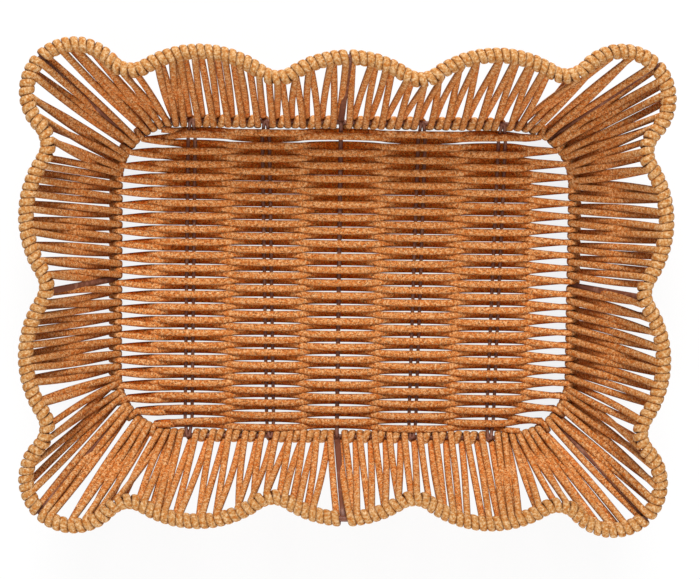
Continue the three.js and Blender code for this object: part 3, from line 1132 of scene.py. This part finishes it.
@dataclass(frozen=True)
class Winding:
    """Cord wound clockwise along a wire. Its sense is 1 from outwards towards up, and -1 the other way.

    Its place and its angle, measured from outwards towards up, are those of its middle. Pitch is the
    way that a full turn takes along the wire. Painted shade is given for its start, its middle and its end.
    """

    loop: LevelLoop
    wire: float
    place: float
    angle: float
    span: float
    pitch: float
    sense: int
    painted_shade: Triple


@dataclass
class WallLacing:
    """The cord that laces the wall: inwards over the rim, down, inwards under the ring and up again.

    Each strand starts inside the wall and ends outside it, so that it lies in front of its neighbours
    at one end and behind them at the other.
    """

    layout: FrameLayout
    material: bpy.types.Material
    wires: WireSizes = WireSizes()
    wrap_width: float = 4.5
    wrap_thickness: float = 2.7
    wrap_pitch: float = 4.49
    strand_width: float = 4.1
    strand_thickness: float = 2.9
    clearance: float = 0.03
    pressed_angle: float = 0.9
    close_reach: float = 1.9
    bead_share: float = 1.5
    stake_share: float = 0.66
    strut_share: float = 0.8
    head_share: float = 0.6
    straight_share: float = 0.999
    bow_share: float = 0.25
    most_bow: float = 1.2
    bow_chance: float = 0.3
    dent_chance: float = 0.2
    # Painted shade at the start, middle and end of the windings: the rim's tops take the lit tones.
    rim_shade: Triple = (0.3, 0.0, 0.05)
    ring_shade: Triple = (0.45, 0.1, 0.15)
    sides: int = 12
    strand_sections: int = 14
    loop_sections: int = 26
    chance: random.Random = field(default_factory=lambda: random.Random(SEED))

    def build(self) -> None:
        """Makes one cord for each lobe of the rim."""
        turns = self.turns()
        LOG.info("lacing turns: %d, with %d wraps on the rim", len(turns), sum(turn.wraps for turn in turns))
        windings = [self.windings(turn) for turn in turns]
        ends: list[tuple[Station, Station]] = []
        for (over, under), (next_over, _) in neighbours(windings):
            ends += [(over[-1], under[0]), (under[-1], next_over[0])]
        strands = [self.strand(start, end, bow) for (start, end), bow in zip(ends, self.bows(ends))]
        owners = self.owners(turns)
        for i, lobe in enumerate(self.layout.rim_shape.lobes()):
            first = next(k for k, owner in enumerate(owners) if owner == i and owners[k - 1] != i)
            stations = strands[2 * first - 1][-1:]
            for k in range(first, first + owners.count(i)):
                turn = k % len(turns)
                over, under = windings[turn]
                stations += over + strands[2 * turn][1:] + under + strands[2 * turn + 1][1:]
            mesh = tube_mesh(f"laced_{lobe.name}", stations, self.sides, False, CORD_SQUARENESS)
            add_piece(mesh, self.material, "lacing_cord", f"lacing_{lobe.name}")

    def bows(self, ends: Sequence[tuple[Station, Station]]) -> list[float]:
        """How far each strand bows aside at half height, so that none presses into its neighbour.

        Args:
            ends: The strands' first and last sections, in the order that the cord takes them.

        Returns:
            The bows, anticlockwise positive.
        """
        middles = [(start.point + end.point) / 2.0 for start, end in ends]
        gaps = [float(np.linalg.norm(after - middle)) for middle, after in neighbours(middles)]
        bows = []
        for k, gap in enumerate(gaps):
            bow = float(np.clip((gaps[k - 1] - gap) * self.bow_share, -self.most_bow, self.most_bow))
            bows.append(bow + self.chance.uniform(-self.bow_chance, self.bow_chance))
        return bows

    def turns(self) -> list[LacingTurn]:
        """Lays out the turns of the whole wall.

        Returns:
            The turns in the order that the cord takes, clockwise from above.
        """
        layout, ring = self.layout, self.layout.ring
        places = layout.lacing_places()[::-1]
        total = len(places)
        rooms = [(places[k - 1] - places[k]) % ring.length for k in range(total)]
        windings = [self.ring_winding(place, room) for place, room in zip(places, rooms)]
        struts = layout.parting_struts()[::-1]
        firsts = [int(np.argmin([(spot.foot - place) % ring.length for place in places])) for spot in struts]
        turns: list[LacingTurn] = []
        for (spot, after), (first, last) in zip(neighbours(struts), neighbours(firsts)):
            picked = [(first + k) % total for k in range((last - first) % total)]
            start = spot.head - self.head_room(spot)
            span = (start - after.head - self.head_room(after)) % layout.rim.length
            wraps = round(span / self.wrap_pitch)
            pitch = span / wraps
            middles = []
            for k in picked:
                following = (k + 1) % total
                gap = (places[k] - places[following] - windings[following][0]) % ring.length
                middles.append(places[k] - gap / 2.0)
            marks = self.wrap_marks(middles, start, pitch, wraps)
            for k, begun, done in zip(picked, marks, marks[1:]):
                following = (k + 1) % total
                middle = start - (begun + done) / 2.0 * pitch
                turns.append(LacingTurn(middle, pitch, done - begun, places[following], *windings[following]))
        return turns

    def wrap_marks(self, middles: Sequence[float], start: float, pitch: float, wraps: int) -> list[int]:
        """Shares out the wraps of one stretch of the rim among its turns.

        Args:
            middles: Each turn's middle, along the ring.
            start: Where the stretch starts, along the rim.
            pitch: Distance between its wraps.
            wraps: How many wraps it has.

        Returns:
            How many wraps lie before each turn, and last all of them.
        """
        layout, count, length = self.layout, len(middles), self.layout.rim.length
        marks = [0]
        for k in range(1, count):
            halfway = middles[k - 1] - ((middles[k - 1] - middles[k]) % layout.ring.length) / 2.0
            ahead = (start - layout.across_from(halfway) + length / 2.0) % length - length / 2.0
            evenness = layout.evenness_at(halfway)
            wanted = ahead / pitch * (1.0 - evenness) + wraps * k / count * evenness
            marks.append(max(round(wanted), marks[-1] + 1))
        marks.append(wraps)
        for k in range(count - 1, 0, -1):
            marks[k] = min(marks[k], marks[k + 1] - 1)
        return marks

    def head_room(self, spot: StrutSpot) -> float:
        """Half the length of rim that is left free of wraps at a strut's head."""
        bare = spot.name == "strut_front"
        return self.wrap_pitch / 2.0 if bare else self.wires.strut * self.head_share

    def ring_winding(self, place: float, room: float) -> tuple[float, bool]:
        """How the cord goes round the ring before it rises at a place.

        Args:
            place: The place along the ring where it rises.
            room: Distance to the next such place, anticlockwise.

        Returns:
            How far before the place it reaches the ring, and whether it goes round the ring once more.
        """
        layout = self.layout
        half = layout.turn_pitch / 2.0
        bead = layout.ring.plane_point(place + half)
        on_long_side = abs(bead[1]) > self.straight_share * layout.base.half_width
        foot = min((strut.foot - place) % layout.ring.length for strut in layout.parting_struts())
        if foot < room and not on_long_side:
            return min(foot + self.wires.strut + self.strand_width / 2.0, room * self.strut_share), False
        if not on_long_side or room < self.bead_share * half:
            return min(self.close_reach, room / 2.0), False
        stakes = [layout.base.stake_x(stake, bead[1]) for stake in layout.base.stakes]
        clear = all(abs(bead[0] - x) > self.strand_width for x in stakes)
        return (self.bead_share * half if clear else self.stake_share * room), clear

    def owners(self, turns: Sequence[LacingTurn]) -> list[int]:
        """Finds the lobe that each turn belongs to. The bottoms of the dips part the lobes.

        Args:
            turns: All turns.

        Returns:
            Each turn's lobe, by its index.
        """
        rim, rim_shape = self.layout.rim, self.layout.rim_shape
        ends = []
        for dip, (lobe, after) in zip(rim_shape.dips(), neighbours(rim_shape.lobes())):
            inwards = unit(np.array(((lobe.x + after.x) / 2.0 - dip[0], (lobe.y + after.y) / 2.0 - dip[1])))
            ends.append(rim.nearest(*(np.array(dip) + inwards * rim_shape.dip_radius)))
        return [int(np.argmin((np.array(ends) - turn.rim_place) % rim.length)) for turn in turns]

    def coil(self, winding: Winding) -> list[Station]:
        """Sections of the cord wound round a wire.

        Args:
            winding: How it is wound.

        Returns:
            The sections.
        """
        span, painted_shade = winding.span, winding.painted_shade
        count = int(span / TURN * self.loop_sections)
        stations = []
        for k in range(count + 1):
            turned = span * (k / count - 0.5)
            spot = winding.loop.spot(winding.place - winding.pitch * turned / TURN)
            share = min(k, count - k) / count * span / self.pressed_angle
            width = blend(self.strand_width, self.wrap_width, share)
            thickness = blend(self.strand_thickness, self.wrap_thickness, share)
            reach = winding.wire + self.clearance + thickness / 2.0
            point = spot.around(reach, winding.angle + winding.sense * turned)
            # Painted shade, blended from the winding's end values to its middle value.
            shade_here = blend(painted_shade[0] if 2 * k < count else painted_shade[2], painted_shade[1], share)
            stations.append(Station(point, spot.tangent, width, thickness, shade_here))
        return stations

    def windings(self, turn: LacingTurn) -> tuple[list[Station], list[Station]]:
        """Sections of one turn's two windings: over the rim and under the ring.

        Args:
            turn: The turn.

        Returns:
            The sections on the rim and those on the ring.
        """
        layout = self.layout
        head, foot = layout.rim.spot(turn.rim_place), layout.ring.spot(turn.ring_place)
        rise = head.centre - foot.centre
        top = math.atan2(rise[2], float(rise @ head.outward))
        bottom = math.atan2(rise[2], float(rise @ foot.outward))
        extra = TURN * (turn.wraps - 1)
        angle, span = top + extra / 2.0, math.pi + extra
        over = Winding(
            layout.rim, self.wires.rim, turn.rim_place, angle, span, turn.rim_pitch, 1, self.rim_shade
        )
        place, pitch = turn.ring_place + turn.ring_reach / 2.0, turn.ring_reach * TURN
        angle, span = (bottom, math.pi + TURN) if turn.beaded else (bottom + math.pi, math.pi)
        under = Winding(
            layout.ring, self.wires.ring, place, angle, span, pitch / span, -1, self.ring_shade
        )
        return self.coil(over), self.coil(under)

    def strand(self, start: Station, end: Station, bow: float) -> list[Station]:
        """Sections of a nearly straight stretch from wire to wire, its last one left out.

        Args:
            start: The first section.
            end: The section after the stretch.
            bow: How far it bows aside at half height, anticlockwise positive.

        Returns:
            The sections.
        """
        dent = self.chance.uniform(-self.dent_chance, self.dent_chance)
        along = unit(end.point - start.point)
        side = unit(start.side + end.side)
        across = np.cross(along, side)
        stations = []
        for k in range(self.strand_sections):
            t = k / self.strand_sections
            swell = math.sin(math.pi * t)
            point = start.point + (end.point - start.point) * t + side * bow * swell + across * dent * swell
            turned = start.side * (1 - t) + end.side * t
            # Painted shade, blended along the strand from its start to its end.
            painted_shade = start.painted_shade + (end.painted_shade - start.painted_shade) * t
            stations.append(Station(point, turned, self.strand_width, self.strand_thickness, painted_shade))
        return stations


@dataclass
class BaseWeave:
    """The cord of the base: over and under the stakes, and round the ring's short sides."""

    layout: FrameLayout
    material: bpy.types.Material
    wires: WireSizes = WireSizes()
    over_width: float = 4.6
    crossing_width: float = 4.1
    under_width_back: float = 5.5
    under_width_front: float = 3.4
    end_width: float = 3.6
    thickness: float = 2.7
    shift: float = 0.42
    sway_chance: float = 0.15
    sway_length: float = 40.0
    last_row_rise: float = 1.3
    dive: float = 0.62
    closing_length: float = 26.0
    closing_power: float = 1.15
    turn_reach: float = 4.3
    flat_shares: tuple[float, float] = (0.4, 0.8)
    # Painted shade of the rows: least where they lie over the stakes and the ring, full where they dive under
    # them.
    row_shade: float = 0.24
    shade_level: float = 1.1
    sides: int = 14
    bay_sections: int = 12
    turn_sections: int = 9
    chance: random.Random = field(default_factory=lambda: random.Random(SEED + 1))

    def build(self) -> None:
        """Makes the whole base from one cord."""
        rows = self.layout.base.row_count
        stations: list[Station] = []
        for row in range(rows):
            heading = 1 if row % 2 == 1 else -1
            stations += self.row(row, heading)
            if row + 1 < rows:
                stations += self.round_the_ring(row, heading)
        mesh = tube_mesh("woven_base", stations, self.sides, False, CORD_SQUARENESS)
        add_piece(mesh, self.material, "weaving_cord", "base_weave")

    def level(self, radius: float) -> float:
        """Height of the cord's middle above or below the middle of a wire that it crosses."""
        return radius + self.thickness / 2.0

    def levels(self, row: int) -> list[float]:
        """How high a row lies above the frame's middle wherever it crosses a wire.

        Args:
            row: The row's number from the front.

        Returns:
            Its height at the ring's left side, at each stake and at the ring's right side.
        """
        at_ring = self.level(self.wires.ring) * (-1.0 if row % 2 == 1 else 1.0)
        at_stakes = []
        for i, stake in enumerate(self.layout.base.stakes):
            radius = self.wires.stake_leg if stake.doubled else self.wires.centre_stake
            at_stakes.append(self.level(radius) * (1.0 if (i + row) % 2 == 1 else -1.0))
        return [at_ring, *at_stakes, at_ring]

    def end_point(self, row: int, side: int) -> tuple[np.ndarray, WireSpot]:
        """Where a row comes to the ring.

        Args:
            row: The row's number from the front.
            side: 1 for the right side and -1 for the left.

        Returns:
            The place just inside the ring, and the ring's frame there.
        """
        base = self.layout.base
        partner = row + 1 if (row % 2 == 1) == (side == 1) else row - 1
        turns_back = 0 <= partner < base.row_count
        y = (base.row_y(row) + base.row_y(partner)) / 2.0 if turns_back else base.row_y(row)
        spot = self.layout.ring.spot(self.layout.facing_place(side, y))
        return spot.centre[:2] - spot.outward[:2] * self.turn_reach, spot

    def row(self, row: int, heading: int) -> list[Station]:
        """Sections of one row, in the direction that the cord runs.

        Args:
            row: The row's number from the front.
            heading: 1 towards the right and -1 towards the left.

        Returns:
            The sections.
        """
        base, steps = self.layout.base, self.bay_sections
        y, levels = base.row_y(row), self.levels(row)
        left, right = self.end_point(row, -1), self.end_point(row, 1)
        xs = [left[0][0], *(base.stake_x(stake, y) for stake in base.stakes), right[0][0]]
        sway, phase = self.chance.uniform(-self.sway_chance, self.sway_chance), self.chance.uniform(0.0, TURN)
        highest = self.level(self.wires.centre_stake)
        from_front = row / (base.row_count - 1)
        under_width = self.under_width_front + (self.under_width_back - self.under_width_front) * from_front
        rise = self.last_row_rise if row == base.row_count - 2 else 0.0
        stations = []
        for k in range(steps * (len(xs) - 1) + 1):
            i = min(k // steps, len(xs) - 2)
            t = (k - i * steps) / steps
            x = xs[i] + (xs[i + 1] - xs[i]) * t
            wave = math.cos(math.pi * t)
            eased = math.copysign(abs(wave) ** self.dive, wave)
            z = levels[i] + (levels[i + 1] - levels[i]) * (0.5 - 0.5 * eased)
            over = z / highest
            end, spot = right if x > 0 else left
            pull = min(max(1.0 - abs(end[0] - x) / self.closing_length, 0.0), 1.0)
            swayed = y + sway * math.sin(x / self.sway_length + phase)
            swayed += rise * (1.0 + over) - self.shift * over
            pulled = swayed + (end[1] - swayed) * pull**self.closing_power
            width = np.interp(over, (-1.0, 0.0, 1.0), (under_width, self.crossing_width, self.over_width))
            width = float(width) + (self.end_width - float(width)) * pull
            side = unit(TOWARDS_BACK * (1.0 - pull) + spot.tangent * (1 if x > 0 else -1) * pull)
            # Painted shade: full shaded tones where the row dives under a stake, lit tones where it rises
            # over one.
            painted_shade = blend(1.0, self.row_shade, self.shade_level + over)
            point = np.array((x, pulled, self.layout.ring.height + z))
            stations.append(Station(point, side, width, self.thickness, painted_shade))
        return stations if heading == 1 else stations[::-1]

    def round_the_ring(self, row: int, heading: int) -> list[Station]:
        """Sections of the cord round the ring wire, from one row to the next.

        Args:
            row: The row that ends there.
            heading: 1 at the right side and -1 at the left one.

        Returns:
            The sections between the two rows.
        """
        _, spot = self.end_point(row, heading)
        level = self.level(self.wires.ring)
        up = UP * (1.0 if row % 2 == 1 else -1.0)
        flat = [-self.turn_reach * (1.0 - share) for share in self.flat_shares]
        points = [spot.centre + spot.outward * reach - up * level for reach in flat]
        for k in range(self.turn_sections + 1):
            angle = math.pi * (k / self.turn_sections - 0.5)
            points.append(spot.centre + spot.outward * level * math.cos(angle) + up * level * math.sin(angle))
        points += [spot.centre + spot.outward * reach + up * level for reach in reversed(flat)]
        side = spot.tangent * heading
        return [Station(point, side, self.end_width, self.thickness, self.row_shade) for point in points]


@dataclass(frozen=True)
class Lamp:
    """A soft square lamp that faces the basket. Its place and edge are in metres."""

    name: str
    place: Triple
    edge: float
    power: float
    aim: Triple = (0.0, 0.0, 0.04)

    def build(self) -> None:
        """Hangs the lamp."""
        data = bpy.data.lights.new(self.name, "AREA")
        data.shape = "SQUARE"
        data.size = self.edge
        data.energy = self.power
        lamp = place_object(self.name, data)
        lamp.location = self.place
        facing = np.array(self.aim) - np.array(self.place)
        flat = math.hypot(facing[0], facing[1])
        lamp.rotation_euler = (math.atan2(flat, -facing[2]), 0.0, math.atan2(-facing[0], facing[1]))


@dataclass
class Studio:
    """A white table under soft light that comes mostly from above and behind. Lengths are in metres."""

    surround: Triple = (1.0, 1.0, 1.0)
    fill: float = 0.4
    lamps: tuple[Lamp, ...] = (
        Lamp("key", (-0.05, 1.4, 1.15), 1.0, 42.0),
        Lamp("soft_front", (0.1, -1.4, 1.0), 1.4, 25.2),
    )
    table_edge: float = 6.0
    table_drop: float = 0.0002
    table_grey: float = 0.82
    table_glow: float = 0.86

    def build(self) -> None:
        """Makes the table, the world and the lamps."""
        self.table()
        self.world()
        for lamp in self.lamps:
            lamp.build()

    def seen_directly(self, sketch: NodeSketch) -> Socket:
        """A mask of rays from the camera, and of those that mirror or pass through gloss and glass.

        Args:
            sketch: The tree to add nodes to.

        Returns:
            The mask's output.
        """
        rays = sketch.add("LightPath").outputs
        mirrored = sketch.math("MAXIMUM", rays["Is Camera Ray"], rays["Is Glossy Ray"])
        return sketch.math("MAXIMUM", mirrored, rays["Is Transmission Ray"])

    def table(self) -> None:
        """Makes the pale floor, which keeps a faint shadow of the basket."""
        half = self.table_edge / 2.0
        mesh = bpy.data.meshes.new("table_top")
        corners = [(sx * half, sy * half, -self.table_drop) for sx, sy in QUARTERS]
        mesh.from_pydata(corners, [], [(0, 1, 2, 3)])
        place_object("table_top", mesh)
        material = bpy.data.materials.new("white_table")
        material.use_nodes = True
        sketch = NodeSketch(material.node_tree)
        nodes = material.node_tree.nodes
        nodes.remove(nodes["Principled BSDF"])
        grey = self.table_grey
        matt = sketch.add("BsdfDiffuse", Color=(grey, grey, grey, 1.0))
        glow = sketch.add("Emission", Color=(*self.surround, 1.0), Strength=1.0)
        share = sketch.math("MULTIPLY", self.seen_directly(sketch), self.table_glow)
        mix = sketch.add("MixShader", Fac=share)
        sketch.feed(mix.inputs[1], matt.outputs["BSDF"])
        sketch.feed(mix.inputs[2], glow.outputs["Emission"])
        sketch.feed(nodes["Material Output"].inputs["Surface"], mix.outputs["Shader"])
        mesh.materials.append(material)

    def world(self) -> None:
        """Makes a white surround that lights the basket softly."""
        world = bpy.data.worlds.new("soft_surround")
        bpy.context.scene.world = world
        world.use_nodes = True
        sketch = NodeSketch(world.node_tree)
        background = world.node_tree.nodes["Background"].inputs
        sketch.feed(background["Color"], (*self.surround, 1.0))
        sketch.feed(background["Strength"], sketch.spread(self.seen_directly(sketch), To_Min=self.fill))


@dataclass(frozen=True)
class PhotoCamera:
    """The camera at the photograph's viewing angle, a little behind the basket's middle."""

    place: Triple = (-0.0132, 0.0737, 0.9664)
    tilt_degrees: Triple = (-2.961, -0.916, 0.701)
    sensor_width: float = 36.0
    lens: float = 81.96
    shift_y: float = -0.07

    def build(self) -> None:
        """Makes the camera and gives it to the scene."""
        data = bpy.data.cameras.new("photo_camera")
        data.sensor_width = self.sensor_width
        data.lens = self.lens
        data.shift_y = self.shift_y
        camera = place_object("photo_camera", data)
        camera.location = self.place
        camera.rotation_euler = [math.radians(a) for a in self.tilt_degrees]
        bpy.context.scene.camera = camera


def main() -> None:
    """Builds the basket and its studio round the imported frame."""
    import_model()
    PhotoCamera().build()
    scene = bpy.context.scene
    scene.view_settings.view_transform = "Standard"
    Studio().build()

    low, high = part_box("base_ring")
    ring_height = (low[2] + high[2]) / 2.0 / MM
    low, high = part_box("rim_wire")
    rim_height = (low[2] + high[2]) / 2.0 / MM
    layout = FrameLayout(RimShape(), BaseShape(), rim_height, ring_height)
    mottle = Mottle().group()
    paint = WireFinish().material(mottle)
    cord = CordFinish().material(mottle)
    WireFrame(layout, paint).build()
    WallLacing(layout, cord).build()
    BaseWeave(layout, cord).build()


if __name__ == "__main__":
    logging.basicConfig(level=logging.INFO, format="%(name)s: %(message)s")
    main()
